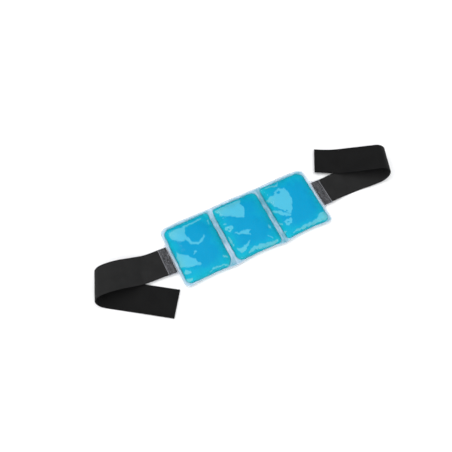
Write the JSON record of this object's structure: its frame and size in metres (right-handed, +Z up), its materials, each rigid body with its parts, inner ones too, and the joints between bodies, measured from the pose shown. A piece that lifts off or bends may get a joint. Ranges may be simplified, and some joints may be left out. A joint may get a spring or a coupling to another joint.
{
  "type": "cold compression wrap",
  "caption": "Cold compression wrap: a clear vinyl pouch of blue gel cells in a row, hinged at its welded seams, with a folded black webbing strap at each end",
  "frame": {"origin": "centre of the middle cell's underside, on the surface that the wrap lies on", "axes": "+X along the row of cells towards the strap that is folded over, +Z up out of the front face"},
  "size_m": [0.5925, 0.1832, 0.0354],
  "materials": {
    "clear_film": "clear soft vinyl, glossy, frosted at its welds",
    "gel": "translucent deep blue gel",
    "webbing": "black woven elastic webbing, brushed loop face on the back",
    "hook_tape": "black moulded hooks",
    "thread": "black polyester thread"
  },
  "bodies": {
    "middle_cell": {"front_film_middle": "clear_film", "back_film_middle": "clear_film", "gel_middle": "gel"},
    "left_cell": {"front_film_left": "clear_film", "back_film_left": "clear_film", "gel_left": "gel"},
    "right_cell": {"front_film_right": "clear_film", "back_film_right": "clear_film", "gel_right": "gel"},
    "left_strap": {"tab_film_front_left": "clear_film", "tab_film_back_left": "clear_film", "strap_left_run": "webbing"},
    "left_strap_fold": {"strap_left_fold": "webbing"},
    "left_strap_end": {"strap_left_end": "webbing", "hook_patch": "hook_tape", "hook_patch_stitching": "thread"},
    "right_strap": {"tab_film_front_right": "clear_film", "tab_film_back_right": "clear_film", "strap_right_run": "webbing"},
    "right_strap_fold": {"strap_right_fold": "webbing"},
    "right_strap_end": {"strap_right_end": "webbing"}
  },
  "joints": [
    {"name": "left_seam", "type": "hinge", "parent": "middle_cell", "child": "left_cell", "pos_m": [-0.048, 0, 0.006], "axis": [0, -1, 0], "range_deg": [-60, 60]},
    {"name": "right_seam", "type": "hinge", "parent": "middle_cell", "child": "right_cell", "pos_m": [0.048, 0, 0.006], "axis": [0, 1, 0], "range_deg": [-60, 60]},
    {"name": "left_tab", "type": "hinge", "parent": "left_cell", "child": "left_strap", "pos_m": [-0.1445, 0, 0.006], "axis": [0, -1, 0], "range_deg": [-45, 45]},
    {"name": "left_first_fold", "type": "hinge", "parent": "left_strap", "child": "left_strap_fold", "pos_m": [-0.27817, 0.00781, 0.02731], "axis": [0.3387, 0.9409, 0], "range_deg": [0, 90]},
    {"name": "left_second_fold", "type": "hinge", "parent": "left_strap_fold", "child": "left_strap_end", "pos_m": [-0.27886, 0.00127, 0.00491], "axis": [0.3387, 0.9409, 0], "range_deg": [0, 90]},
    {"name": "right_tab", "type": "hinge", "parent": "right_cell", "child": "right_strap", "pos_m": [0.1445, 0, 0.006], "axis": [0, 1, 0], "range_deg": [-45, 45]},
    {"name": "right_first_fold", "type": "hinge", "parent": "right_strap", "child": "right_strap_fold", "pos_m": [0.28655, -0.00462, 0.0065], "axis": [0.3581, 0.9308, -0.073], "range_deg": [0, 90]},
    {"name": "right_second_fold", "type": "hinge", "parent": "right_strap_fold", "child": "right_strap_end", "pos_m": [0.28438, 0.00309, 0.03212], "axis": [0.3581, 0.9308, -0.073], "range_deg": [0, 90]}
  ]
}
